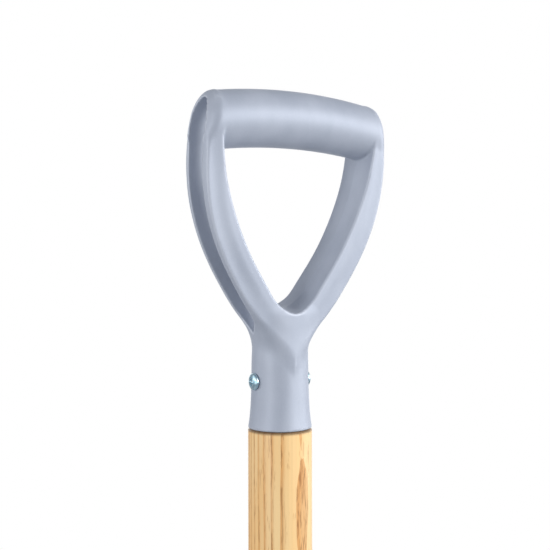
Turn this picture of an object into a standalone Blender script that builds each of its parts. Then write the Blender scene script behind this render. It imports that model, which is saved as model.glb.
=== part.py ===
"""Garden spade: pressed steel blade, tapered socket, ash shaft and a moulded D-grip.

Z runs up the shaft, X along the grip's cross bar, and the digging face looks to -Y. The tip of the
blade touches Z = 0. The grip is described in millimetres above the rim of its collar, standing
straight, and grip_point then cants it forward and lifts it to its place on the shaft.
"""

import math

import bmesh
import bpy
import numpy as np
from mathutils import Matrix, Vector

MM = 0.001
GAP = 0.0003

# Heights on the whole tool
RIM = 0.824
SOCKET_MOUTH = 0.455
SHAFT_END = 0.332
BLADE_TOP = 0.290

# Shaft
SHAFT_RADIUS = 0.018
SPIGOT_RADIUS = 0.0142
SPIGOT_TOP = RIM + 0.042
SHAFT_END_RADIUS = 0.0137

# Grip, in millimetres above the rim
CANT = math.sin(math.radians(5.5))
CANT_FROM, CANT_TO = 35.0, 55.0
COLLAR_HEIGHT = 64.0
BORE_DEPTH = 42.6
HOLE_FLOOR = 65.7
HOLE_ROUNDING = 10.0
HOLE_DRAFT = 1.0
HOLE_BEVEL = 1.0
FACE_HOLLOW = 0.35
BAR_RADIUS = 15.6
BAR_HEIGHT = 170.7
BAR_ARCH = 4.8
BAR_HALF_LENGTH = 54.6
BAR_END_ROUNDING = 5.0
SCREW_HEIGHT = 26.5

# Fasteners
SCREW_SHANK = 0.0024
SCREW_LENGTH = 0.0132
SCREW_HEAD_RADIUS = 0.0047
SCREW_HEAD_HEIGHT = 0.0024
SCREW_HOLE = 0.0028
RIVET_RADIUS = 0.0025
RIVET_HOLE = 0.0029
RIVET_HEIGHTS = {"upper": 0.428, "lower": 0.382}

# Blade, tongue and treads
STEEL = 0.0022
BLADE_HALF_WIDTH_TOP = 0.0925
BLADE_HALF_WIDTH_TIP = 0.0870
BLADE_DISH = 0.006
TIP_FORWARD = 0.012
TIP_SAG = 0.009
TREAD_INNER, TREAD_OUTER = 0.030, 0.0935
TREAD_HALF_DEPTH = 0.0085
TREAD_THICKNESS = 0.0032
TREAD_BACK_SET = 0.0035
WELD_RADIUS = 0.0016


def clear_scene():
    for obj in list(bpy.data.objects):
        bpy.data.objects.remove(obj)


def material(name, colour, roughness, metallic=0.0):
    made = bpy.data.materials.new(name)
    made.use_nodes = True
    shader = made.node_tree.nodes["Principled BSDF"]
    shader.inputs["Base Color"].default_value = (*colour, 1.0)
    shader.inputs["Roughness"].default_value = roughness
    shader.inputs["Metallic"].default_value = metallic
    return made


def add_object(name, bm, finish=None, smooth_under=35.0):
    bmesh.ops.recalc_face_normals(bm, faces=bm.faces)
    mesh = bpy.data.meshes.new(name)
    bm.to_mesh(mesh)
    bm.free()
    mesh.shade_smooth()
    mesh.set_sharp_from_angle(angle=math.radians(smooth_under))
    obj = bpy.data.objects.new(name, mesh)
    bpy.context.scene.collection.objects.link(obj)
    if finish:
        mesh.materials.append(finish)
    return obj


def add_helper(name, bm):
    helper = add_object(name, bm)
    helper.hide_render = True
    helper.display_type = "WIRE"
    return helper


def boolean(obj, helper, operation):
    modifier = obj.modifiers.new(helper.name, "BOOLEAN")
    modifier.operation = operation
    modifier.object = helper
    modifier.solver = "EXACT"


def smooth_curve(knots):
    """A function through (position, value) knots, with slopes taken from their neighbours."""
    at, value = (np.array(column, float) for column in zip(*knots))
    slope = np.gradient(value, at)

    def evaluate(x):
        x = float(np.clip(x, at[0], at[-1]))
        i = int(np.clip(np.searchsorted(at, x) - 1, 0, len(at) - 2))
        step = at[i + 1] - at[i]
        t = (x - at[i]) / step
        start = (1 + 2 * t) * (1 - t) ** 2 * value[i] + t * (1 - t) ** 2 * step * slope[i]
        end = t * t * (3 - 2 * t) * value[i + 1] - t * t * (1 - t) * step * slope[i + 1]
        return start + end

    return evaluate


def circle(segments):
    return [2 * math.pi * i / segments for i in range(segments)]


def loft(rings):
    """A closed skin over equal rings of points, capped at the first and the last."""
    bm = bmesh.new()
    rows = [[bm.verts.new(point) for point in ring] for ring in rings]
    for lower, upper in zip(rows, rows[1:]):
        for i, corner in enumerate(lower):
            j = (i + 1) % len(lower)
            bm.faces.new((corner, lower[j], upper[j], upper[i]))
    bm.faces.new(rows[0])
    bm.faces.new(rows[-1])
    return bm


def turned(profile, segments=40):
    """A solid of revolution about Z from (radius, height) points, capped at both ends."""
    rings = []
    for radius, height in profile:
        rings.append([(radius * math.cos(a), radius * math.sin(a), height) for a in circle(segments)])
    return loft(rings)


def rod(start, end, radius, segments=16):
    """A plain cylinder between two points."""
    start, end = Vector(start), Vector(end)
    bm = bmesh.new()
    turn = (end - start).to_track_quat("Z", "Y").to_matrix().to_4x4()
    place = Matrix.Translation((start + end) / 2) @ turn
    bmesh.ops.create_cone(
        bm,
        cap_ends=True,
        segments=segments,
        radius1=radius,
        radius2=radius,
        depth=(end - start).length,
        matrix=place,
    )
    return bm


# ---------------------------------------------------------------- grip

# Half width of the outline that the rims of both arms follow, and of the opening for the hand
outer_half = smooth_curve(
    [
        (37, -0.6),
        (49, 8.4),
        (60, 20.2),
        (80, 35.2),
        (100, 46.4),
        (120, 53.4),
        (140, 56.3),
        (155, 56.2),
        (166, 54.9),
        (182, 50.0),
    ]
)
opening_half = smooth_curve(
    [(65.9, 10.0), (73.3, 15.8), (80, 19.6), (100, 31.2), (120, 40.0), (140, 45.8), (165, 48.4), (184, 48.9)]
)
# Half depth of the arms at the edge of the opening, and at the rim
inner_depth = smooth_curve([(37, 15.9), (50, 15.0), (66, 14.1), (148, 14.1), (166, 14.9), (182, 13.0)])
rim_depth = smooth_curve(
    [(37, 15.9), (49, 14.6), (57, 13.4), (64, 12.8), (150, 12.8), (166, 12.6), (182, 8.0)]
)
# Floor and half width of the channel along the outside of each arm
channel_floor = smooth_curve(
    [
        (48, 17.5),
        (53, 14.4),
        (60, 13.4),
        (68, 15.6),
        (80, 21.6),
        (100, 34.2),
        (120, 42.7),
        (140, 48.0),
        (155, 48.4),
        (166, 47.2),
        (179, 44.0),
    ]
)


def channel_half(height):
    lower = 8.8 * min(1.0, max(0.0, (height - 50.0) / 12.0))
    upper = 9.6 * math.sqrt(max(0.0, 1 - (max(0.0, height - 163.0) / 15.5) ** 2))
    swell = min(1.0, max(0.0, (height - 155.0) / 6.0))
    return lower * (1 - swell) + upper * swell


def grip_point(x, y, z):
    """From the straight grip, in millimetres above its rim, to the canted one on the tool."""
    if z < CANT_FROM:
        rise, share = 0.0, 0.0
    elif z < CANT_TO:
        rise = (z - CANT_FROM) ** 2 / (2 * (CANT_TO - CANT_FROM))
        share = (z - CANT_FROM) / (CANT_TO - CANT_FROM)
    else:
        rise, share = z - (CANT_FROM + CANT_TO) / 2, 1.0
    return (x * MM, (y - rise * CANT) * MM, RIM + (z + y * share * CANT) * MM)


def grip_loft(rings):
    return loft([[grip_point(*point) for point in ring] for ring in rings])


def opening_x(height):
    reach = opening_half(height) ** 2 - HOLE_ROUNDING**2
    return math.sqrt(max(0.0, reach))


def collar_radius(height):
    """The collar flares to the shaft's own radius at its rim."""
    return 15.9 + 2.1 * math.exp(-height / 11.0)


def collar_body():
    rings = [[(17.1 * math.cos(a), 17.1 * math.sin(a), 0.0) for a in circle(48)]]
    for height in (0.6, 1.6, 5, 10, 15, 20, 26, 32, 38, 44, 50, 57, COLLAR_HEIGHT):
        across = collar_radius(height)
        if height < 1.0:
            across -= 0.3
        deep = across - 2.8 * max(0.0, height - 36) / (COLLAR_HEIGHT - 36)
        rings.append([(across * math.cos(a), deep * math.sin(a), height) for a in circle(48)])
    return grip_loft(rings)


def arms_blank():
    """Both arms and the web below them as one solid, before the hand opening and channels are cut."""
    rings = []
    for height in (37.5, 39, 41, 45, 49, 53, 57, 61, 65, *range(70, 176, 7), 178):
        outside = max(0.6, outer_half(height))
        inside = max(0.3, min(opening_x(height), 0.7 * outside))
        deep, shallow = inner_depth(height), rim_depth(height)
        lip = min(0.9, 0.4 * outside)
        front = [
            (inside, -deep),
            ((inside + outside) / 2, FACE_HOLLOW - (deep + shallow) / 2),
            (outside - lip, -shallow - 0.1),
            (outside - 0.25 * lip, -shallow + 0.2),
            (outside, -shallow + 0.9),
        ]
        right = front + [(x, -y) for x, y in reversed(front)]
        rings.append([(x, y, height) for x, y in right + [(-x, y) for x, y in reversed(right)]])
    return grip_loft(rings)


def opening_cutter():
    """The hole for the hand. It narrows to a parting line at mid depth and is bevelled at the faces."""
    heights = [HOLE_FLOOR + step for step in (0, 0.4, 1.5, 3.5, 6.5, 10)] + list(range(80, 171, 9))
    right = [(opening_x(height), height) for height in heights]
    outline = right + [(-x, z) for x, z in reversed(right) if x > 0]
    centre = Vector((0.0, 110.0))
    rings = []
    depths = (-22.0, -13.5, -12.5, 0.0, 12.5, 13.5, 22.0)
    grown = (9.5, HOLE_BEVEL, 0.0, -HOLE_DRAFT, 0.0, HOLE_BEVEL, 9.5)
    for depth, grow in zip(depths, grown):
        ring = []
        for i, point in enumerate(outline):
            before, after = Vector(outline[i - 1]), Vector(outline[(i + 1) % len(outline)])
            along = (after - before).normalized()
            out = Vector((along.y, -along.x))
            if out.dot(Vector(point) - centre) < 0:
                out.negate()
            x, z = Vector(point) + out * grow
            ring.append((x, depth, z))
        rings.append(ring)
    return grip_loft(rings)


def bar_body():
    """The arched cross bar, with softened ends."""
    rings = []
    steps = 14
    ends = [
        (BAR_END_ROUNDING * (1 - math.cos(a)), BAR_END_ROUNDING * (1 - math.sin(a)))
        for a in (0.0, 0.35, 0.7, 1.1)
    ]
    stations = [(-BAR_HALF_LENGTH + along, drop) for along, drop in ends]
    inner = BAR_HALF_LENGTH - BAR_END_ROUNDING
    stations += [(-inner + 2 * inner * i / steps, 0.0) for i in range(steps + 1)]
    stations += [(BAR_HALF_LENGTH - along, drop) for along, drop in reversed(ends)]
    for x, drop in stations:
        radius = BAR_RADIUS - drop
        height = BAR_HEIGHT - BAR_ARCH * (x / BAR_HALF_LENGTH) ** 2
        rings.append([(x, radius * math.cos(a), height + radius * math.sin(a)) for a in circle(40)])
    return grip_loft(rings)


def channel_cutter(side):
    """The recess along the outside of an arm, which ends as an arch in the end of the cross bar."""
    heights = [48.4, 49.6, 51.6, 54.3, 58.1, 62.7, *range(67, 152, 7), 155, 157.5]
    heights += [159, 160.5, 163.6, 167, 170.6, 173.4, 176.3, 177.6, 178.3]
    rings = []
    for height in heights:
        half = max(0.5, channel_half(height))
        floor = channel_floor(height)
        corner = min(5.0, 0.62 * half)
        bend = [(corner * (1 - math.cos(a)), corner * (1 - math.sin(a))) for a in (0.0, 0.52, 1.05, 1.57)]
        near = [(70.0, -half)] + [(floor + inward, -half + sideways) for sideways, inward in bend]
        ring = near + [(x, -y) for x, y in reversed(near)]
        rings.append([(side * x, y, height) for x, y in ring])
    return grip_loft(rings)


def bore_cutter():
    return rod((0, 0, RIM - 0.004), (0, 0, RIM + BORE_DEPTH * MM), SPIGOT_RADIUS + GAP, 40)


def grip():
    finish = material("grip_plastic", (0.44, 0.48, 0.56), 0.42)
    body = add_object("grip_moulding", collar_body(), finish)
    boolean(body, add_helper("arms_blank", arms_blank()), "UNION")
    boolean(body, add_helper("opening_cutter", opening_cutter()), "DIFFERENCE")
    boolean(body, add_helper("bar", bar_body()), "UNION")
    for side, name in ((-1, "left"), (1, "right")):
        boolean(body, add_helper(f"channel_{name}", channel_cutter(side)), "DIFFERENCE")
    boolean(body, add_helper("bore_cutter", bore_cutter()), "DIFFERENCE")
    return body


# ---------------------------------------------------------------- fasteners


def screw_seat():
    """How far from the shaft's axis the underside of a screw head sits."""
    return collar_radius(SCREW_HEIGHT) * MM + GAP


def grip_screw(name, side, finish):
    """Pan-head screw along X: shank, domed head and a cross recess."""
    seat = screw_seat()
    rim = 0.0007
    neck = SCREW_LENGTH - 0.0045
    profile = [(0.0004, -SCREW_LENGTH), (SCREW_SHANK, -neck), (SCREW_SHANK, 0.0)]
    profile += [(SCREW_HEAD_RADIUS, 0.0), (SCREW_HEAD_RADIUS, rim)]
    for angle in (0.26, 0.52, 0.79, 1.05, 1.31):
        out = rim + (SCREW_HEAD_HEIGHT - rim) * math.sin(angle)
        profile.append((SCREW_HEAD_RADIUS * math.cos(angle), out))
    level = RIM + SCREW_HEIGHT * MM
    rings = []
    for radius, out in profile:
        rings.append(
            [(side * (seat + out), radius * math.cos(a), level + radius * math.sin(a)) for a in circle(32)]
        )
    screw = add_object(name, loft(rings), finish)
    top, bottom = seat + SCREW_HEAD_HEIGHT + 0.001, seat + SCREW_HEAD_HEIGHT - 0.0017
    rings = []
    for out, reach in ((top, 0.0028), (bottom, 0.0009)):
        thin = 0.00055
        quarter = [(reach, -thin), (reach, thin), (thin, thin)]
        ring = []
        for turn in range(4):
            for y, z in quarter:
                for _ in range(turn):
                    y, z = -z, y
                ring.append((side * out, y, level + z))
        rings.append(ring)
    boolean(screw, add_helper(f"{name}_recess", loft(rings)), "DIFFERENCE")
    return screw


def rivet(name, height, finish):
    """Through rivet along Y, with a domed head in front and behind."""
    reach = socket_radius(height) + GAP
    head, rim, dome = 0.0046, 0.0006, 0.0018
    back = [(RIVET_RADIUS, reach), (head, reach), (head, reach + rim)]
    back += [(head * math.cos(a), reach + rim + dome * math.sin(a)) for a in (0.35, 0.7, 1.05, 1.35)]
    profile = [(radius, -along) for radius, along in reversed(back)] + back
    rings = []
    for radius, along in profile:
        rings.append([(radius * math.cos(a), along, height + radius * math.sin(a)) for a in circle(24)])
    return add_object(name, loft(rings), finish)


# ---------------------------------------------------------------- shaft and socket


def socket_radius(height):
    """Outer radius of the round part of the socket."""
    share = max(0.0, SOCKET_MOUTH - 0.012 - height) / (SOCKET_MOUTH - 0.012 - SHAFT_END)
    return 0.0201 - 0.0043 * share


def shaft():
    """Ash shaft: a spigot in the collar, a parallel length, and a taper inside the socket."""
    finish = material("ash_wood", (0.78, 0.52, 0.25), 0.38)
    profile = [(SHAFT_END_RADIUS - 0.001, SHAFT_END), (SHAFT_END_RADIUS, SHAFT_END + 0.001)]
    for height in (0.36, 0.39, 0.42, SOCKET_MOUTH - 0.006):
        profile.append((socket_radius(height) - 0.0018 - GAP, height))
    profile += [
        (SHAFT_RADIUS, SOCKET_MOUTH + 0.012),
        (SHAFT_RADIUS, 0.58),
        (SHAFT_RADIUS, 0.70),
        (SHAFT_RADIUS, RIM - 0.0012),
        (SHAFT_RADIUS - 0.0008, RIM - GAP),
        (SPIGOT_RADIUS, RIM - GAP),
        (SPIGOT_RADIUS, SPIGOT_TOP - 0.0012),
        (SPIGOT_RADIUS - 0.0012, SPIGOT_TOP),
    ]
    made = add_object("shaft", turned(profile, 48), finish)
    level = RIM + SCREW_HEIGHT * MM
    depth = screw_seat() - SCREW_LENGTH - 0.001
    for side, name in ((-1, "left"), (1, "right")):
        pilot_hole = rod((side * depth, 0, level), (side * 0.03, 0, level), SCREW_HOLE)
        pilot = add_helper(f"pilot_{name}", pilot_hole)
        boolean(made, pilot, "DIFFERENCE")
        boolean(bpy.data.objects["grip_moulding"], pilot, "DIFFERENCE")
    return made


def tongue_section(height):
    """(half width, half thickness, centre y) of the socket where it is pressed flat behind the blade."""
    half_width = smooth_curve(
        [(0.176, 0.004), (0.190, 0.0085), (0.23, 0.0120), (0.285, 0.0165), (0.330, 0.0158)]
    )
    half_depth = smooth_curve(
        [(0.176, 0.0016), (0.190, 0.0022), (0.23, 0.0034), (0.285, 0.0062), (0.330, 0.0158)]
    )
    centre = smooth_curve([(0.176, 0.0042), (0.190, 0.0040), (0.23, 0.0020), (0.285, -0.0008), (0.330, 0.0)])
    return half_width(height), half_depth(height), centre(height)


def socket():
    """Steel tube around the end of the shaft, drawn down to a flat tongue."""
    finish = material("painted_steel", (0.47, 0.50, 0.56), 0.40, 0.25)
    wall = 0.0018
    outside = []
    for height in (0.176, 0.181, 0.190, 0.205, 0.23, 0.255, 0.275, 0.285, 0.297, 0.310, 0.322):
        outside.append((*tongue_section(height), height))
    for height in (SHAFT_END, 0.36, 0.39, 0.42, SOCKET_MOUTH - 0.012):
        outside.append((socket_radius(height), socket_radius(height), 0.0, height))
    bead = socket_radius(SOCKET_MOUTH)
    outside += [(bead, bead, 0.0, SOCKET_MOUTH - 0.0008), (bead - 0.0007, bead - 0.0007, 0.0, SOCKET_MOUTH)]
    inside = [(bead - wall + 0.0004, bead - wall + 0.0004, 0.0, SOCKET_MOUTH)]
    for height in (SOCKET_MOUTH - 0.006, 0.42, 0.39, 0.36, SHAFT_END - GAP):
        inside.append((socket_radius(height) - wall, socket_radius(height) - wall, 0.0, height))
    inside += [(0.0120, 0.0100, 0.0, 0.318), (0.0100, 0.0040, -0.0004, 0.303)]
    rings = []
    for half_width, half_depth, centre, height in outside + inside:
        rings.append(
            [(half_width * math.cos(a), centre + half_depth * math.sin(a), height) for a in circle(40)]
        )
    made = add_object("socket", loft(rings), finish)
    for name, height in RIVET_HEIGHTS.items():
        hole = add_helper(f"hole_{name}", rod((0, -0.03, height), (0, 0.03, height), RIVET_HOLE))
        boolean(made, hole, "DIFFERENCE")
        boolean(bpy.data.objects["shaft"], hole, "DIFFERENCE")
    return made


# ---------------------------------------------------------------- blade, treads and welds


def blade_half_width(height):
    share = height / BLADE_TOP
    return BLADE_HALF_WIDTH_TIP + (BLADE_HALF_WIDTH_TOP - BLADE_HALF_WIDTH_TIP) * share


def blade_plane(x, height):
    """Middle of the sheet away from the frog: edges and tip curl forward."""
    down = 1 - height / BLADE_TOP
    return -BLADE_DISH * (x / BLADE_HALF_WIDTH_TOP) ** 2 - TIP_FORWARD * down**2 + 0.0040


def blade_surface(x, height):
    """Middle of the sheet, pressed forward around the tongue."""
    plane = blade_plane(x, height)
    half_width, half_depth, centre = tongue_section(max(height, 0.176))
    fade = min(1.0, max(0.0, (height - 0.120) / 0.056))
    reach = (half_width + 0.0035) * (0.4 + 0.6 * fade)
    share = abs(x) / reach
    if share >= 1:
        raised = plane + 0.02
    else:
        crown = centre - (half_depth + STEEL / 2 + 0.0012) * math.sqrt(1 - share**2)
        raised = plane + (crown - plane) * fade
    soft = 0.006
    blend = max(0.0, soft - abs(plane - raised)) / soft
    return min(plane, raised) - blend**2 * soft / 4 * (1.0 if height > 0.1 else 0.0)


def blade():
    finish = material("blade_steel", (0.47, 0.50, 0.56), 0.40, 0.25)
    columns, rows = 44, 30
    bm = bmesh.new()
    grid = []
    for row in range(rows + 1):
        line = []
        for column in range(columns + 1):
            across = 2 * column / columns - 1
            share = row / rows
            corner = max(0.0, abs(across) - 0.90) / 0.10
            sag = TIP_SAG * (across * across) + 0.010 * (1 - math.sqrt(1 - min(1.0, corner) ** 2))
            height = share * BLADE_TOP + (1 - share) ** 2 * sag
            x = across * blade_half_width(height)
            line.append(bm.verts.new((x, blade_surface(x, height), height)))
        grid.append(line)
    for lower, upper in zip(grid, grid[1:]):
        for i in range(columns):
            bm.faces.new((lower[i], lower[i + 1], upper[i + 1], upper[i]))
    made = add_object("blade", bm, finish)
    sheet = made.modifiers.new("sheet", "SOLIDIFY")
    sheet.thickness = STEEL
    sheet.offset = 0.0
    sheet.use_even_offset = True
    return made


def tread(name, side):
    """A strip along the shoulder of the blade, for the boot."""
    finish = material(name, (0.47, 0.50, 0.56), 0.40, 0.25)
    bottom = BLADE_TOP + GAP
    rings = []
    stations = 12
    for step in range(stations + 1):
        along = step / stations
        x = TREAD_INNER + (TREAD_OUTER - TREAD_INNER) * (1 - math.cos(math.pi * along)) / 2
        nearest = min(x - TREAD_INNER, TREAD_OUTER - x)
        corner = 0.005
        lost = corner - math.sqrt(max(0.0, corner**2 - max(0.0, corner - nearest) ** 2))
        half = TREAD_HALF_DEPTH - lost
        middle = blade_plane(x, BLADE_TOP) + TREAD_BACK_SET
        ring = []
        for depth, lift in ((-1, 0.0), (1, 0.0), (1, TREAD_THICKNESS), (-1, TREAD_THICKNESS)):
            ring.append((side * x, middle + depth * half, bottom + lift))
        rings.append(ring)
    return add_object(name, loft(rings), finish)


def bead(name, route, radius=WELD_RADIUS):
    """A weld bead: a tube along a route, rippled along its length and thinner at its ends."""
    finish = material(name, (0.45, 0.47, 0.52), 0.5, 0.3)
    rings = []
    for i, point in enumerate(route):
        before, after = Vector(route[max(0, i - 1)]), Vector(route[min(len(route) - 1, i + 1)])
        frame = (after - before).to_track_quat("Z", "Y").to_matrix()
        size = radius * (0.55 if i in (0, len(route) - 1) else 1.0 - 0.12 * (i % 2))
        spokes = [Vector((size * math.cos(a), size * math.sin(a), 0)) for a in circle(8)]
        rings.append([Vector(point) + frame @ spoke for spoke in spokes])
    return add_object(name, loft(rings), finish)


def back_of_blade(x, height):
    return blade_surface(x, height) + STEEL / 2


def socket_weld(name, side):
    """Bead in the corner between the tongue and the back of the blade."""
    steps = 22
    route = []
    for step in range(steps + 1):
        height = 0.186 + (0.280 - 0.186) * step / steps
        x = tongue_section(height)[0] + 0.0036
        behind = max(back_of_blade(x + step * WELD_RADIUS, height) for step in (-0.7, 0, 0.7))
        route.append((side * x, behind + 2 * GAP + WELD_RADIUS, height))
    return bead(name, route)


def tread_weld(name, side):
    """Bead under a tread, in the corner with the back of the blade."""
    steps = 16
    route = []
    for step in range(steps + 1):
        x = 0.036 + (0.086 - 0.036) * step / steps
        height = BLADE_TOP - WELD_RADIUS
        route.append((side * x, back_of_blade(x, height) + GAP + WELD_RADIUS, height))
    return bead(name, route)


def main():
    clear_scene()
    grip()
    zinc = material("zinc_screw", (0.62, 0.66, 0.70), 0.28, 1.0)
    grip_screw("grip_screw_left", -1, zinc)
    grip_screw("grip_screw_right", 1, zinc)
    shaft()
    socket()
    rivet_steel = material("rivet_steel", (0.55, 0.57, 0.60), 0.35, 1.0)
    for name, height in RIVET_HEIGHTS.items():
        rivet(f"socket_rivet_{name}", height, rivet_steel)
    blade()
    for side, name in ((-1, "left"), (1, "right")):
        tread(f"tread_{name}", side)
        tread_weld(f"tread_weld_{name}", side)
        socket_weld(f"socket_weld_{name}", side)


main()
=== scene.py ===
"""Garden spade with a moulded D-grip: the visible pieces, their finishes, and a plain studio around them."""

import itertools
import math

import bmesh
import bpy
import numpy as np
from mathutils import Matrix, Vector


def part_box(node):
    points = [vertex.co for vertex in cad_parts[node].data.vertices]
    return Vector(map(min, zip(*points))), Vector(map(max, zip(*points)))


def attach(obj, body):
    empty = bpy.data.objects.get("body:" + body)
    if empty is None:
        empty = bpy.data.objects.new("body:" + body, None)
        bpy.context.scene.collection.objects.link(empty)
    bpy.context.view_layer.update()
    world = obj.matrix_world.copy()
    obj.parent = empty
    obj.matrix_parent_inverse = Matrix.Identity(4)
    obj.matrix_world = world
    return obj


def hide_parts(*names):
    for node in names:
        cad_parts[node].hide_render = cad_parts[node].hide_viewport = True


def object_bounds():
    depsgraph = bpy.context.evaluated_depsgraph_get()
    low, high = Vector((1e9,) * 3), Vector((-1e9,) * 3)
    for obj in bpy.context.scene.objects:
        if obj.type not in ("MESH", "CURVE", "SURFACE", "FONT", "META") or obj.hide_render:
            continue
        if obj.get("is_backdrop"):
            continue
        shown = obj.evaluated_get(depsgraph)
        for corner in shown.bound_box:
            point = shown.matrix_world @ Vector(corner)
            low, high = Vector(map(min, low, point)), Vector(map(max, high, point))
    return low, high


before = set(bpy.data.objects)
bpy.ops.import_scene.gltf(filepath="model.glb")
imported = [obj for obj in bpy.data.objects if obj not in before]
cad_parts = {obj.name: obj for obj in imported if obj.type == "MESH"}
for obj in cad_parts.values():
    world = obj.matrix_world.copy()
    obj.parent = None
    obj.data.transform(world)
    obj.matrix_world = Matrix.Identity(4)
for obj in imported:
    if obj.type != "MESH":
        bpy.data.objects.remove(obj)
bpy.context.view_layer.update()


# ---------------------------------------------------------------- D-grip
# One injection moulding in silver-filled plastic: a collar that takes the shaft's spigot, two arms that are
# channelled down their outsides, and an arched cross bar. The head is canted forward above the collar.

MM = 0.001
GRIP_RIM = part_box("grip_moulding")[0].z
GRIP_CANT = math.sin(math.radians(5.5))
CANT_FROM, CANT_TO = 35.0, 55.0
COLLAR_RADIUS, COLLAR_FLARE, FLARE_HEIGHT, COLLAR_TOP = 15.9, 2.1, 11.0, 66.0
BORE_RADIUS, BORE_DEPTH = 14.5, 42.6
SCREW_HEIGHT, SCREW_HOLE = 26.5, 2.8
BAR_RADIUS, BAR_HEIGHT, BAR_ARCH, BAR_END = 15.55, 170.7, 4.8, 55.0
CROTCH_ROUNDING = 10.0
PARTING_DRAFT = 1.0
WEB_FILLET = 7.5
FACE_HOLLOW = 0.3
CHANNEL_HALF_WIDTH, CHANNEL_SWELL, CHANNEL_TOP, CHANNEL_ARCH = 8.4, 1.2, 163.0, 15.5
GRID_LOW, GRID_HIGH = (-60.3, -19.5, -1.3), (60.8, 20.0, 188.5)
GRID_PITCH = 0.8
SILVER = (0.395, 0.435, 0.520, 1)
SILVER_PALE = (0.450, 0.490, 0.575, 1)


def curve_through(*knots):
    """A smooth curve through (height, size) pairs, which runs on straight past its ends."""
    at, size = np.array(knots, float).T
    slope = np.gradient(size, at)

    def evaluate(z):
        i = np.clip(np.searchsorted(at, z) - 1, 0, len(at) - 2)
        step = at[i + 1] - at[i]
        t = np.clip((z - at[i]) / step, 0, 1)
        start = (1 + 2 * t) * (1 - t) ** 2 * size[i] + t * (1 - t) ** 2 * step * slope[i]
        end = t * t * (3 - 2 * t) * size[i + 1] - t * t * (1 - t) * step * slope[i + 1]
        return start + end + slope[0] * np.minimum(z - at[0], 0) + slope[-1] * np.maximum(z - at[-1], 0)

    return evaluate


def lean(curve, z):
    """How much longer a step along the curve is than the same step in height."""
    return np.hypot(1, (curve(z + 0.1) - curve(z - 0.1)) / 0.2)


# Half width of the outline that the rims of both arms follow
arm_outside = curve_through(
    (37, -0.2), (49, 9.0), (60, 20.0), (80, 34.8), (100, 46.1), (120, 53.3), (140, 56.5),
    (150, 56.8), (158, 56.7), (165, 55.9), (171, 54.7), (175.5, 52.9), (180, 50.3), (184, 47.4)
)
# Half width of the hole for the hand
hand_opening = curve_through(
    (65.9, 10.0), (73.3, 15.8), (80, 19.6), (100, 31.1), (120, 39.9), (140, 45.9), (158, 48.4),
    (170, 48.8), (184, 49.0)
)
# Half depth of an arm at its rim, and how much deeper it is beside the hole
depth_at_rim = curve_through(
    (37, 15.6), (49, 14.6), (57, 13.5), (64, 13.0), (150, 13.0), (166, 12.9), (182, 11.5)
)
face_rise = curve_through((37, 0.3), (50, 0.6), (66, 1.1), (148, 1.1), (166, 2.0), (182, 3.0))
# How far out the floor of each arm's channel lies
channel_floor = curve_through(
    (48, 16.5), (53, 14.4), (60, 13.4), (68, 15.6), (80, 21.6), (100, 34.2), (120, 42.7),
    (140, 48.0), (155, 48.4), (166, 47.0), (179, 43.0)
)


def both(a, b, rounding):
    """Inside both shapes, with the corner between their faces rounded. Distances are negative inside."""
    corner = np.hypot(np.maximum(a + rounding, 0), np.maximum(b + rounding, 0))
    return np.minimum(np.maximum(a, b), -rounding) + corner


def either(a, b, fillet):
    """Inside either shape, with a fillet where their faces meet."""
    return -both(-a, -b, fillet)


def oval(across, along, half_width, half_length):
    """Distance from an ellipse, true near its edge."""
    tiny = 1e-9
    share = np.hypot(across / half_width, along / half_length) + tiny
    steepness = np.hypot(across / half_width**2, along / half_length**2) + tiny / half_width
    return (share - 1) * share / steepness


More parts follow.
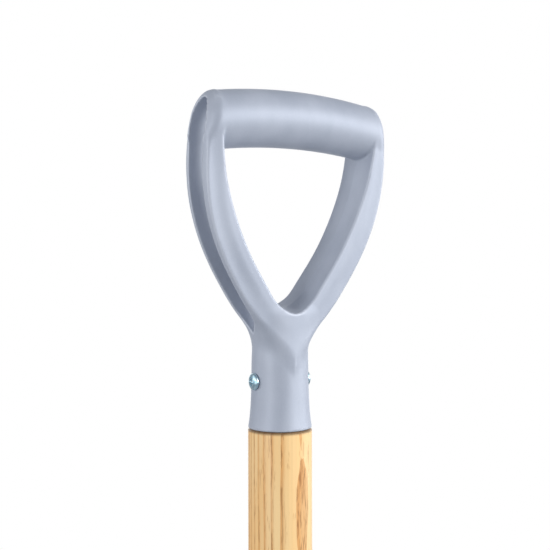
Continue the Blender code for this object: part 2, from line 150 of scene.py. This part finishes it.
def grip_shape(x, y, z):
    """Distance from the moulding's skin, before the cant, for points above its rim. All in millimetres."""
    side, deep = np.abs(x), np.abs(y)
    radius = COLLAR_RADIUS + COLLAR_FLARE * np.exp(-np.maximum(z, -5) / FLARE_HEIGHT)
    collar = oval(side, deep, radius, radius - 0.1 * np.maximum(z - 36, 0))
    collar = both(both(collar, -z, 0.7), z - COLLAR_TOP, 1)

    low_down, high_up = np.clip((72 - z) / 12, 0, 1), np.clip((z - 150) / 15, 0, 1)
    crown = 2.7 + 1.3 * high_up
    outline = side - arm_outside(z) + crown * ((y / BAR_RADIUS) ** 2 - 0.444)
    outline = outline / lean(arm_outside, z)
    inward = np.clip((arm_outside(z) - np.hypot(x, 5)) / lean(arm_outside, z) / 10.5, 0, 1)
    face = depth_at_rim(z) + face_rise(z) * inward * inward * (3 - 2 * inward)
    between = np.clip((z - 66) / 16, 0, 1) * np.clip((160 - z) / 16, 0, 1)
    face = face - FACE_HOLLOW * between * np.sin(math.pi * inward) ** 2
    arms = both(deep - face, outline, 0.8 + 1.7 * low_down + 2.6 * high_up)

    wall = np.maximum(hand_opening(z), 0)
    steep = wall * (hand_opening(z + 0.1) - hand_opening(z - 0.1)) / 0.2
    opening = (wall**2 - side**2 - CROTCH_ROUNDING**2) / (2 * np.hypot(side, steep) + 0.01)
    opening = opening - PARTING_DRAFT * np.clip(1 - deep / 12.5, 0, 1)

    centre = BAR_HEIGHT - BAR_ARCH * (x / BAR_END) ** 2
    arms = both(arms, np.hypot(y, np.maximum(z - centre, 0)) - BAR_RADIUS + 0.1, 0.5)
    body = both(either(collar, arms, WEB_FILLET), opening, 1.2)
    tube = np.hypot(y, z - centre) - BAR_RADIUS
    body = either(body, both(tube, outline, 3.8 - 2.0 * np.clip((z - 168) / 12, 0, 1)), 1.2)

    swell = np.clip((z - 153) / 9, 0, 1)
    half_width = CHANNEL_HALF_WIDTH + CHANNEL_SWELL * swell * swell * (3 - 2 * swell)
    mouth = oval(deep, np.maximum(z - CHANNEL_TOP, 0), half_width, CHANNEL_ARCH)
    mouth = both(mouth, (deep - (z - 53) * 0.85) * 0.76, 2.5)
    floor = (channel_floor(z) - side) / lean(channel_floor, z)
    body = both(body, -both(floor, mouth, np.minimum(5, 0.62 * half_width)), 0.7)

    bore = both(np.hypot(x, y) - BORE_RADIUS, z - BORE_DEPTH, 0.5)
    body = both(body, -bore, 0.5)
    return np.maximum(body, SCREW_HOLE - np.hypot(y, z - SCREW_HEIGHT))


def skin_of(shape, low, high, pitch):
    """Points and four-sided faces that wrap a shape, one point for each grid cell that its skin crosses."""
    axes = [np.arange(start, end, pitch) for start, end in zip(low, high)]
    inside = shape(*np.meshgrid(*axes, indexing="ij")) < 0
    count = np.zeros([n - 1 for n in inside.shape], int)
    for corner in itertools.product((0, 1), repeat=3):
        count += inside[tuple(slice(c, c + n) for c, n in zip(corner, count.shape))]
    crossed = (count > 0) & (count < 8)
    number = np.cumsum(crossed).reshape(crossed.shape) - 1
    points = np.argwhere(crossed) * pitch + np.array(low) + pitch / 2
    faces = []
    for axis in range(3):
        u, v = np.eye(3, dtype=int)[[(axis + 1) % 3, (axis + 2) % 3]]
        near, far = (inside.take(range(k, inside.shape[axis] - 1 + k), axis) for k in (0, 1))
        at = np.argwhere(near != far)
        around = np.stack([number[tuple((at - step).T)] for step in (u + v, v, 0 * u, u)], 1)
        outward = near[tuple(at.T)]
        faces.append(np.where(outward[:, None], around, around[:, ::-1]))
    return points, np.concatenate(faces)


def steepest(shape, points, reach):
    """The shape's gradient at each point."""
    slopes = [shape(*(points + step).T) - shape(*(points - step).T) for step in np.eye(3) * reach]
    return np.stack(slopes, 1) / (2 * reach)


def drawn_to(shape, points, rounds=9, stride=0.45):
    """Moves points onto the skin of a shape."""
    for _ in range(rounds):
        slope = steepest(shape, points, 0.02)
        step = -shape(*points.T)[:, None] * slope / np.maximum((slope**2).sum(1, keepdims=True), 0.05)
        length = np.linalg.norm(step, axis=1, keepdims=True)
        points = points + step * np.minimum(1, stride / np.maximum(length, 1e-9))
    return points


def evened(points, faces):
    """Each point halfway to the middle of its neighbours."""
    ends = np.concatenate([faces[:, [k, (k + 1) % 4]] for k in range(4)])
    share = np.bincount(ends[:, 0], minlength=len(points))[:, None]
    total = [np.bincount(ends[:, 0], points[ends[:, 1], axis], len(points)) for axis in range(3)]
    return (points + np.stack(total, 1) / share) / 2


def canted(points):
    """From the upright grip, in millimetres above its rim, to its place on the shaft."""
    x, y, z = points.T
    share = np.clip((z - CANT_FROM) / (CANT_TO - CANT_FROM), 0, 1)
    bend = share**2 * (CANT_TO - CANT_FROM) / 2 + np.maximum(z - CANT_TO, 0)
    return np.stack([x, y - bend * GRIP_CANT, GRIP_RIM / MM + z + y * share * GRIP_CANT], 1) * MM


def piece_from(name, points, faces, finish):
    """A smooth-shaded object at the origin."""
    mesh = bpy.data.meshes.new(name)
    mesh.from_pydata(points.tolist(), [], faces.tolist())
    mesh.shade_smooth()
    mesh.materials.append(finish)
    made = bpy.data.objects.new(name, mesh)
    bpy.context.scene.collection.objects.link(made)
    return made


class Flow:
    """A node's output, which can stand in a sum."""

    def __init__(self, nodes, socket):
        self.nodes, self.socket = nodes, socket

    def maths(self, operation, *terms):
        return self.nodes.add("ShaderNodeMath", {"operation": operation}, dict(enumerate(terms)))

    def __add__(self, other):
        return self.maths("ADD", self, other)

    def __sub__(self, other):
        return self.maths("SUBTRACT", self, other)

    def __rsub__(self, other):
        return self.maths("SUBTRACT", other, self)

    def __mul__(self, other):
        return self.maths("MULTIPLY", self, other)

    def __pow__(self, other):
        return self.maths("POWER", self, other)

    __radd__ = __add__
    __rmul__ = __mul__

    def between(self, low, high):
        """0 below low, 1 above high, and smooth between them."""
        settings = {"interpolation_type": "SMOOTHSTEP"}
        return self.nodes.add("ShaderNodeMapRange", settings, {0: self, 1: low, 2: high})


class Nodes:
    """A node tree that is filled one node at a time."""

    def __init__(self, tree):
        self.tree = tree

    def add(self, kind, settings=None, values=None, output=0):
        made = self.tree.nodes.new(kind)
        for name, value in (settings or {}).items():
            setattr(made, name, value)
        for name, value in (values or {}).items():
            self.put(made.inputs[name], value)
        return Flow(self, made.outputs[output])

    def put(self, socket, value):
        if isinstance(value, Flow):
            self.tree.links.new(value.socket, socket)
        else:
            socket.default_value = value

    def colour_mix(self, share, first, second):
        return self.add("ShaderNodeMix", {"data_type": "RGBA"}, {0: share, 6: first, 7: second}, 2)


class Finish(Nodes):
    """A material for one kind of surface."""

    def __init__(self, name):
        self.material = bpy.data.materials.new(name)
        self.material.use_nodes = True
        super().__init__(self.material.node_tree)
        self.shader = self.tree.nodes["Principled BSDF"]
        self.place = self.add("ShaderNodeTexCoord", output="Object")

    def set(self, **values):
        for name, value in values.items():
            self.put(self.shader.inputs[name.replace("_", " ")], value)

    def stretched(self, x, y, z):
        """The place on the piece, with each direction scaled."""
        return self.add("ShaderNodeMapping", {}, {"Vector": self.place, "Scale": (x, y, z)})

    def noise(self, scale, detail=2.0, roughness=0.5, at=None):
        values = {"Vector": at or self.place, "Scale": scale, "Detail": detail, "Roughness": roughness}
        return self.add("ShaderNodeTexNoise", {}, values)

    def bump(self, height, distance, strength=1.0, under=None):
        values = {"Height": height, "Distance": distance, "Strength": strength}
        if under:
            values["Normal"] = under
        return self.add("ShaderNodeBump", {}, values)


def silver_plastic():
    """Satin moulded plastic: fine spark texture, faint flow clouds and a painted highlight that makes convex
    edges paler.
    """
    finish = Finish("silver_plastic")
    edge_highlight = finish.add("ShaderNodeAttribute", {"attribute_name": "edge_highlight"}, output="Fac")
    clouds = finish.noise(55, 3, 0.55, finish.stretched(1, 1, 0.45))
    specks = finish.noise(1500, 2, 0.6)
    tone = finish.colour_mix(clouds.between(0.3, 0.7), SILVER, SILVER_PALE)
    tone = finish.colour_mix(specks.between(0.45, 0.75) * 0.12, tone, (0.62, 0.66, 0.74, 1))
    # Painted highlight: convex edges mixed toward a paler silver.
    tone = finish.colour_mix(edge_highlight * 0.55, tone, (0.66, 0.70, 0.78, 1))
    spark = finish.noise(2600, 3, 0.6)
    waves = finish.noise(160, 2, 0.5)
    finish.set(
        Base_Color=tone,
        Roughness=0.44 + clouds * 0.08 + specks * 0.07 - edge_highlight * 0.05,
        Metallic=0.15,
        Normal=finish.bump(spark, 0.00003, 0.5, finish.bump(waves, 0.00008, 0.35)),
    )
    return finish.material


grip_points, grip_faces = skin_of(grip_shape, GRID_LOW, GRID_HIGH, GRID_PITCH)
grip_points = drawn_to(grip_shape, grip_points)
for _ in range(3):
    grip_points = drawn_to(grip_shape, evened(grip_points, grip_faces), rounds=3)
grip = piece_from("grip", canted(grip_points), grip_faces, silver_plastic())
# How sharply the skin bends outward at each point, kept as the mask for the painted edge highlight.
reach = 0.7
curvature = 0
for step in np.eye(3) * reach:
    curvature += grip_shape(*(grip_points + step).T) + grip_shape(*(grip_points - step).T)
curvature = curvature / reach**2
edge_highlight = grip.data.attributes.new("edge_highlight", "FLOAT", "POINT")
edge_highlight.data.foreach_set("value", np.clip((curvature - 0.25) / 1.2, 0, 1).astype(np.float32))
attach(grip, "root")
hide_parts("grip_moulding")


# ---------------------------------------------------------------- shaft
# Turned ash, straight-grained, sanded and lacquered. A spigot at the top is a push fit in the collar and the
# lower end tapers into the steel socket.


def lacquered_ash():
    """Ring-porous wood: dark pored lines where each ring begins, paler wood between, a painted highlight
    band down one side and a painted shadow line under the rim.
    """
    finish = Finish("lacquered_ash")
    split = finish.add("ShaderNodeSeparateXYZ", {}, {0: finish.place}, "X")
    across, deep, up = (Flow(finish, output) for output in split.socket.node.outputs)
    wander = finish.noise(9, 3, 0.5, finish.stretched(1, 1, 0.5)) - 0.5
    wobble = finish.noise(60, 3, 0.6, finish.stretched(1, 1, 0.12)) - 0.5
    from_pith = ((across + 0.011) ** 2 + (deep - 0.047) ** 2) ** 0.5 + wander * 0.006 + wobble * 0.0016
    rings = from_pith * 300
    ring = rings.maths("FRACT", rings)
    early = 1 - ring.between(0.0, 0.5)
    streak = finish.noise(700, 3, 0.65, finish.stretched(1, 1, 0.035))
    pores = finish.noise(1300, 2, 0.7, finish.stretched(1, 1, 0.07)).between(0.50, 0.62) * early
    flecks = finish.noise(420, 3, 0.7, finish.stretched(1, 1, 0.10)).between(0.60, 0.66)
    warm = finish.noise(30, 2, 0.5, finish.stretched(1, 1, 0.15)).between(0.35, 0.65)
    # Painted highlight: the strip 4 to 10 mm right of the shaft's middle is marked here.
    painted_highlight_band = across.between(0.004, 0.010)
    tone = finish.colour_mix(warm, (0.93, 0.50, 0.150, 1), (0.98, 0.70, 0.35, 1))
    tone = finish.colour_mix(early * 0.70, tone, (0.66, 0.25, 0.035, 1))
    tone = finish.colour_mix(streak.between(0.42, 0.62) * 0.28, tone, (0.90, 0.62, 0.30, 1))
    # Painted highlight: that strip is mixed toward a pale gold.
    tone = finish.colour_mix(painted_highlight_band * 0.45, tone, (0.98, 0.72, 0.38, 1))
    tone = finish.colour_mix(flecks * 0.35, tone, (0.40, 0.15, 0.03, 1))
    tone = finish.colour_mix(pores * 0.65, tone, (0.26, 0.10, 0.02, 1))
    # Painted shadow: a near-black line on the shaft just under the grip's rim, where the collar shades it.
    tone = finish.colour_mix(up.between(0.8215, 0.8234) * 0.85, tone, (0.10, 0.045, 0.015, 1))
    height = streak * 0.4 - pores * 1.0
    finish.set(
        Base_Color=tone,
        Roughness=0.42 + streak * 0.12 + pores * 0.2,
        Coat_Weight=0.40 - pores * 0.15,
        Coat_Roughness=0.25,
        Normal=finish.bump(height, 0.00006, 0.5),
    )
    return finish.material


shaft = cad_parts["shaft"]
shaft.data.materials.clear()
shaft.data.materials.append(lacquered_ash())


# ---------------------------------------------------------------- screws and rivets
# Two pan-head screws with a cross recess hold the collar to the spigot, one from each side, and two rivets
# with domed heads hold the shaft in the socket. All are headed steel with blue-white zinc plating.

SCREW_LENGTH, THREAD_RADIUS, THREAD_DEPTH, THREADS_PER_MM = 13.2, 2.4, 0.9, 0.55
HEAD_RADIUS, HEAD_RIM, HEAD_HEIGHT = 4.7, 0.7, 2.4
SLOT_EDGE, SLOT_END = (0.40, 0.62), (2.3, 2.9)
RIVET_SHANK, RIVET_HEAD, RIVET_RIM, RIVET_DOME = 2.5, 4.6, 0.6, 1.8


class Shape(Nodes):
    """A Geometry Nodes tree for one kind of repeated piece."""

    def __init__(self, name, **inputs):
        super().__init__(bpy.data.node_groups.new(name, "GeometryNodeTree"))
        sockets = self.tree.interface
        sockets.new_socket("Geometry", in_out="OUTPUT", socket_type="NodeSocketGeometry")
        sockets.new_socket("Geometry", in_out="INPUT", socket_type="NodeSocketGeometry")
        for label, kind in inputs.items():
            sockets.new_socket(label, in_out="INPUT", socket_type="NodeSocket" + kind)
        self.entry = self.tree.nodes.new("NodeGroupInput")

    def given(self, name):
        return Flow(self, self.entry.outputs[name])

    def parts_of(self, vector):
        node = self.add("ShaderNodeSeparateXYZ", {}, {0: vector}).socket.node
        return [Flow(self, output) for output in node.outputs]

    def joined(self, x, y, z):
        return self.add("ShaderNodeCombineXYZ", {}, {0: x, 1: y, 2: z})

    def close(self, geometry, material):
        real = self.add("GeometryNodeRealizeInstances", {}, {0: geometry})
        painted = self.add("GeometryNodeSetMaterial", {}, {"Geometry": real, "Material": material})
        self.put(self.tree.nodes.new("NodeGroupOutput").inputs[0], painted)
        return self

    def made(self, name, start=None, **values):
        """A finished piece, made from the tree and these values of its inputs."""
        host = bpy.data.objects.new(name, start or bpy.data.meshes.new(name))
        bpy.context.scene.collection.objects.link(host)
        modifier = host.modifiers.new(name, "NODES")
        modifier.node_group = self.tree
        for item in self.tree.interface.items_tree:
            if item.in_out == "INPUT" and item.name in values:
                modifier[item.identifier] = values[item.name]
        mesh = bpy.data.meshes.new_from_object(host.evaluated_get(bpy.context.evaluated_depsgraph_get()))
        host.modifiers.clear()
        host.data = mesh
        mesh.shade_smooth()
        mesh.set_sharp_from_angle(angle=math.radians(40))
        return host


def turned_shape(name, profile, material):
    """A tree that spins a profile of (radius, distance along) round X, from tip to head. In millimetres."""
    tree = Shape(name, Place="Vector", Facing="Float", Recess="Float", Thread="Float")
    out, along = np.array(profile, float).T
    widest, low, span = out.max(), along.min(), along.max() - along.min()
    run = np.concatenate([[0], np.cumsum(np.hypot(np.diff(out), np.diff(along)) ** 0.7)])
    grid = tree.add("GeometryNodeMeshGrid", {}, {"Vertices X": 97, "Vertices Y": 150})
    spread = tree.parts_of(Flow(tree, grid.socket.node.outputs["UV Map"]))
    curves = []
    for values in (out / widest, (along - low) / span):
        curve = tree.add("ShaderNodeFloatCurve", {}, {"Value": spread[1]})
        points = curve.socket.node.mapping.curves[0].points
        while len(points) < len(values):
            points.new(0.5, 0.5)
        for point, place, value in zip(points, run / run[-1], values):
            point.location, point.handle_type = (place, value), "VECTOR"
        curve.socket.node.mapping.update()
        curves.append(curve)

    # The thread: a ridge that winds round the shank and stops short of the head
    turn = spread[0] * (2 * math.pi)
    far = curves[1] * span + low
    on_shank = 1 - far.between(-1.6, -1.0)
    wound = far * THREADS_PER_MM + spread[0]
    ridge = wound.maths("PINGPONG", wound, 0.5)
    radius = curves[0] * widest
    radius = radius - tree.given("Thread") * on_shank * ridge * radius.between(0.5, 2.0)

    # The recess: two crossed slots, deepest in the middle of the head
    cosine, sine = turn.maths("COSINE", turn), turn.maths("SINE", turn)
    y, z = radius * cosine, radius * sine
    wide, tall = y.maths("ABSOLUTE", y), z.maths("ABSOLUTE", z)
    upright = (1 - wide.between(*SLOT_EDGE)) * (1 - tall.between(*SLOT_END))
    level = (1 - tall.between(*SLOT_EDGE)) * (1 - wide.between(*SLOT_END))
    cross = upright.maths("MAXIMUM", upright, level)
    depth = cross * far.between(0.6, 0.9) * (1.6 - radius * 0.3)

    place = tree.joined((far - depth * tree.given("Recess")) * MM, y * MM, z * MM)
    skin = tree.add("GeometryNodeSetPosition", {}, {"Geometry": grid, "Position": place})
    skin = tree.add("GeometryNodeMergeByDistance", {}, {"Geometry": skin, "Distance": 0.002 * MM})
    facing = tree.joined(0, 0, tree.given("Facing"))
    turned = {"Geometry": skin, "Translation": tree.given("Place"), "Rotation": facing}
    return tree.close(tree.add("GeometryNodeTransform", {}, turned), material)


def zinc_plate():
    """Bright zinc with a bluish passivation, cloudy and a little dulled in blotches."""
    zinc = Finish("blue_zinc")
    cloud = zinc.noise(900, 3, 0.6)
    blotch = zinc.noise(260, 2, 0.5)
    tone = zinc.colour_mix(cloud.between(0.35, 0.65), (0.36, 0.58, 0.70, 1), (0.62, 0.77, 0.83, 1))
    tone = zinc.colour_mix(blotch.between(0.55, 0.75) * 0.5, tone, (0.30, 0.42, 0.50, 1))
    zinc.set(
        Base_Color=tone,
        Roughness=0.20 + cloud * 0.15 + blotch * 0.08,
        Metallic=1.0,
        Normal=zinc.bump(cloud, 0.00003, 0.4),
    )
    return zinc.material


def domed(radius, rise, base):
    """The profile of a rounded head, from its edge to its top."""
    turns = np.linspace(0, math.pi / 2, 12)
    return [(radius * math.cos(a), base + rise * math.sin(a)) for a in turns]


plating = zinc_plate()
screw_profile = [
    (0, -SCREW_LENGTH),
    (0.4, -SCREW_LENGTH),
    (THREAD_RADIUS, -SCREW_LENGTH + 4.5),
    (THREAD_RADIUS, -0.01),
    (HEAD_RADIUS, 0.0),
] + domed(HEAD_RADIUS, HEAD_HEIGHT - HEAD_RIM, HEAD_RIM)
screw_shape = turned_shape("pan_screw", screw_profile, plating)
for side, node, facing in ((1, "grip_screw_right", 0.0), (-1, "grip_screw_left", math.pi)):
    low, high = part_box(node)
    head_top = high.x if side > 0 else low.x
    seat = (head_top - side * HEAD_HEIGHT * MM, (low.y + high.y) / 2, (low.z + high.z) / 2)
    screw = screw_shape.made(
        node.replace("grip_", "pan_"), Place=seat, Facing=facing, Recess=1.0, Thread=THREAD_DEPTH
    )
    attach(screw, "root")
    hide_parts(node)

for node in ("socket_rivet_upper", "socket_rivet_lower"):
    low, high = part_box(node)
    half = (high.y - low.y) / 2 / MM - RIVET_RIM - RIVET_DOME
    front = domed(RIVET_HEAD, RIVET_DOME, half + RIVET_RIM)
    back = [(radius, -along) for radius, along in reversed(front)]
    shank = [(RIVET_HEAD, -half), (RIVET_SHANK, 0.01 - half), (RIVET_SHANK, half - 0.01), (RIVET_HEAD, half)]
    rivet_shape = turned_shape(node + "_shape", back + shank + front, plating)
    centre = tuple((low + high) / 2)
    rivet = rivet_shape.made(
        node.replace("socket_", "domed_"), Place=centre, Facing=math.pi / 2, Recess=0.0, Thread=0.0
    )
    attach(rivet, "root")
    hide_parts(node)


# ---------------------------------------------------------------- blade and socket
# Pressed steel with a hammered powder coat in the same silver as the grip. The cutting edge is ground bare.

coat = Finish("silver_coat")
peel = coat.noise(420, 2, 0.5)
dapple = coat.noise(150, 2, 0.5)
scuffs = coat.noise(240, 4, 0.7, coat.stretched(1, 1, 0.06)).between(0.60, 0.72)
height = Flow(coat, coat.add("ShaderNodeSeparateXYZ", {}, {0: coat.place}).socket.node.outputs["Z"])
ground = 1 - (height + peel * 0.003).between(0.004, 0.008)
tone = coat.colour_mix(peel.between(0.3, 0.7), SILVER, SILVER_PALE)
tone = coat.colour_mix(scuffs * 0.15 * (1 - height.between(0.05, 0.30)), tone, (0.60, 0.62, 0.65, 1))
coat.set(
    Base_Color=coat.colour_mix(ground, tone, (0.62, 0.62, 0.61, 1)),
    Roughness=0.34 + peel * 0.1 - ground * 0.08,
    Metallic=0.3 + ground * 0.65,
    Normal=coat.bump(peel, 0.0001, 0.4, coat.bump(dapple, 0.0004, 0.5)),
)
for node in ("socket", "blade", "tread_left", "tread_right"):
    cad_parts[node].data.materials.clear()
    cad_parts[node].data.materials.append(coat.material)


# ---------------------------------------------------------------- weld beads
# Arc-welded runs that hold the tongue and the treads to the blade, coated with them. Each bead is a row of
# overlapping puddles, laid at an even pace but never quite the same size.

BEAD_RADIUS, PUDDLE_PACE = 0.00155, 0.0013
BEAD_STATIONS = 16

bead_shape = Shape("weld_ripples", Pace="Float", Radius="Float", Seed="Int")
pace = bead_shape.given("Pace")
line = bead_shape.add("GeometryNodeMeshToCurve", {}, {0: bead_shape.given("Geometry")})
line = bead_shape.add("GeometryNodeResampleCurve", {"mode": "LENGTH"}, {"Curve": line, "Length": pace})
along = bead_shape.add("GeometryNodeInputTangent")
spread = {2: 0.90, 3: 1.0, "Seed": bead_shape.given("Seed")}
size = bead_shape.add("FunctionNodeRandomValue", {"data_type": "FLOAT"}, spread, 1)
thick = bead_shape.given("Radius") * size
row = {
    "Points": line,
    "Instance": bead_shape.add("GeometryNodeMeshIcoSphere", {}, {"Radius": 1.0, "Subdivisions": 3}),
    "Rotation": bead_shape.add("FunctionNodeAlignRotationToVector", {"axis": "Z"}, {"Vector": along}),
    "Scale": bead_shape.joined(thick, thick, pace * 0.85),
}
bead_shape.close(bead_shape.add("GeometryNodeInstanceOnPoints", {}, row), coat.material)

UP, ACROSS = 2, 0
welds = [
    ("tread_weld_left", ACROSS),
    ("tread_weld_right", ACROSS),
    ("socket_weld_left", UP),
    ("socket_weld_right", UP),
]
for seed, (node, axis) in enumerate(welds):
    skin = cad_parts[node]
    points = np.array([skin.matrix_world @ vertex.co for vertex in skin.data.vertices])
    first, last = points[:, axis].min(), points[:, axis].max()
    share = (points[:, axis] - first) / (last - first)
    station = np.clip((share * BEAD_STATIONS).astype(int), 0, BEAD_STATIONS - 1)
    route = [points[station == k].mean(0).tolist() for k in range(BEAD_STATIONS) if (station == k).any()]
    path = bpy.data.meshes.new(node)
    path.from_pydata(route, [(k, k + 1) for k in range(len(route) - 1)], [])
    bead = bead_shape.made(
        node.replace("weld", "bead"), path, Pace=PUDDLE_PACE, Radius=BEAD_RADIUS, Seed=seed
    )
    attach(bead, "root")
    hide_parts(node)


# ---------------------------------------------------------------- studio
# A pale floor under the tip, soft boxes to the right and left of the camera and a bright wall behind.

bpy.context.scene.view_settings.view_transform = "Standard"
CAMERA_TURN = math.radians(30.7)
CAMERA_DISTANCE = 0.503
GRIP_MIDDLE = GRIP_RIM + 0.088
FLOOR_RADIUS = 2.2
BEAM_SPREAD = math.radians(80)

floor_mesh = bmesh.new()
bmesh.ops.create_circle(floor_mesh, cap_ends=True, segments=96, radius=FLOOR_RADIUS)
floor_data = bpy.data.meshes.new("floor")
floor_mesh.to_mesh(floor_data)
floor_mesh.free()
floor = bpy.data.objects.new("floor", floor_data)
bpy.context.scene.collection.objects.link(floor)
paper = Finish("pale_paper")
paper.set(Base_Color=(0.92, 0.92, 0.92, 1), Roughness=0.8)
floor_data.materials.append(paper.material)
floor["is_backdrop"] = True


def soft_box(name, turn, rise, distance, width, height, power):
    """An area light that faces the grip. Turn is to the right of the camera's line, in degrees."""
    lamp = bpy.data.lights.new(name, "AREA")
    lamp.shape, lamp.size, lamp.size_y = "RECTANGLE", width, height
    lamp.energy, lamp.spread = power, BEAM_SPREAD
    angle = math.radians(turn) - CAMERA_TURN
    up = math.radians(rise)
    toward = Vector((math.sin(angle) * math.cos(up), -math.cos(angle) * math.cos(up), math.sin(up)))
    place = Vector((0, 0, GRIP_MIDDLE)) + toward * distance
    box = bpy.data.objects.new(name, lamp)
    box.matrix_world = Matrix.Translation(place) @ toward.to_track_quat("Z", "Y").to_matrix().to_4x4()
    box.visible_camera = False
    bpy.context.scene.collection.objects.link(box)


soft_box("key", 60, 12, 1.3, 0.6, 0.9, 2.5)
soft_box("side", 98, 7, 1.3, 0.45, 0.8, 1.7)
soft_box("fill", -42, 4, 1.5, 0.45, 1.1, 2.0)
soft_box("left", -85, 10, 1.5, 0.8, 1.1, 1.0)
soft_box("wall", 180, 8, 1.8, 3.4, 2.2, 8.6)

world = bpy.data.worlds.new("studio")
world.use_nodes = True
bpy.context.scene.world = world
room = Nodes(world.node_tree)
seen = room.add("ShaderNodeLightPath", output="Is Camera Ray")
background = world.node_tree.nodes["Background"]
room.put(background.inputs["Color"], room.colour_mix(seen, (0.315, 0.325, 0.345, 1), (1.0, 1.0, 1.0, 1)))

camera = bpy.data.objects.new("camera", bpy.data.cameras.new("camera"))
bpy.context.scene.collection.objects.link(camera)
camera.data.sensor_width = 36.0
camera.data.lens = 58.5
camera.data.clip_start = 0.01
yaw, pitch, roll = CAMERA_TURN - math.radians(0.30), math.radians(-0.28), math.radians(-0.12)
ahead = Vector((math.sin(yaw) * math.cos(pitch), math.cos(yaw) * math.cos(pitch), math.sin(pitch)))
level = ahead.cross(Vector((0, 0, 1))).normalized()
upright = level.cross(ahead)
right = math.cos(roll) * level + math.sin(roll) * upright
top = math.cos(roll) * upright - math.sin(roll) * level
camera.matrix_world = Matrix((right, top, -ahead)).transposed().to_4x4()
camera.location = (
    -CAMERA_DISTANCE * math.sin(CAMERA_TURN),
    -CAMERA_DISTANCE * math.cos(CAMERA_TURN),
    GRIP_MIDDLE,
)
bpy.context.scene.camera = camera

low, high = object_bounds()
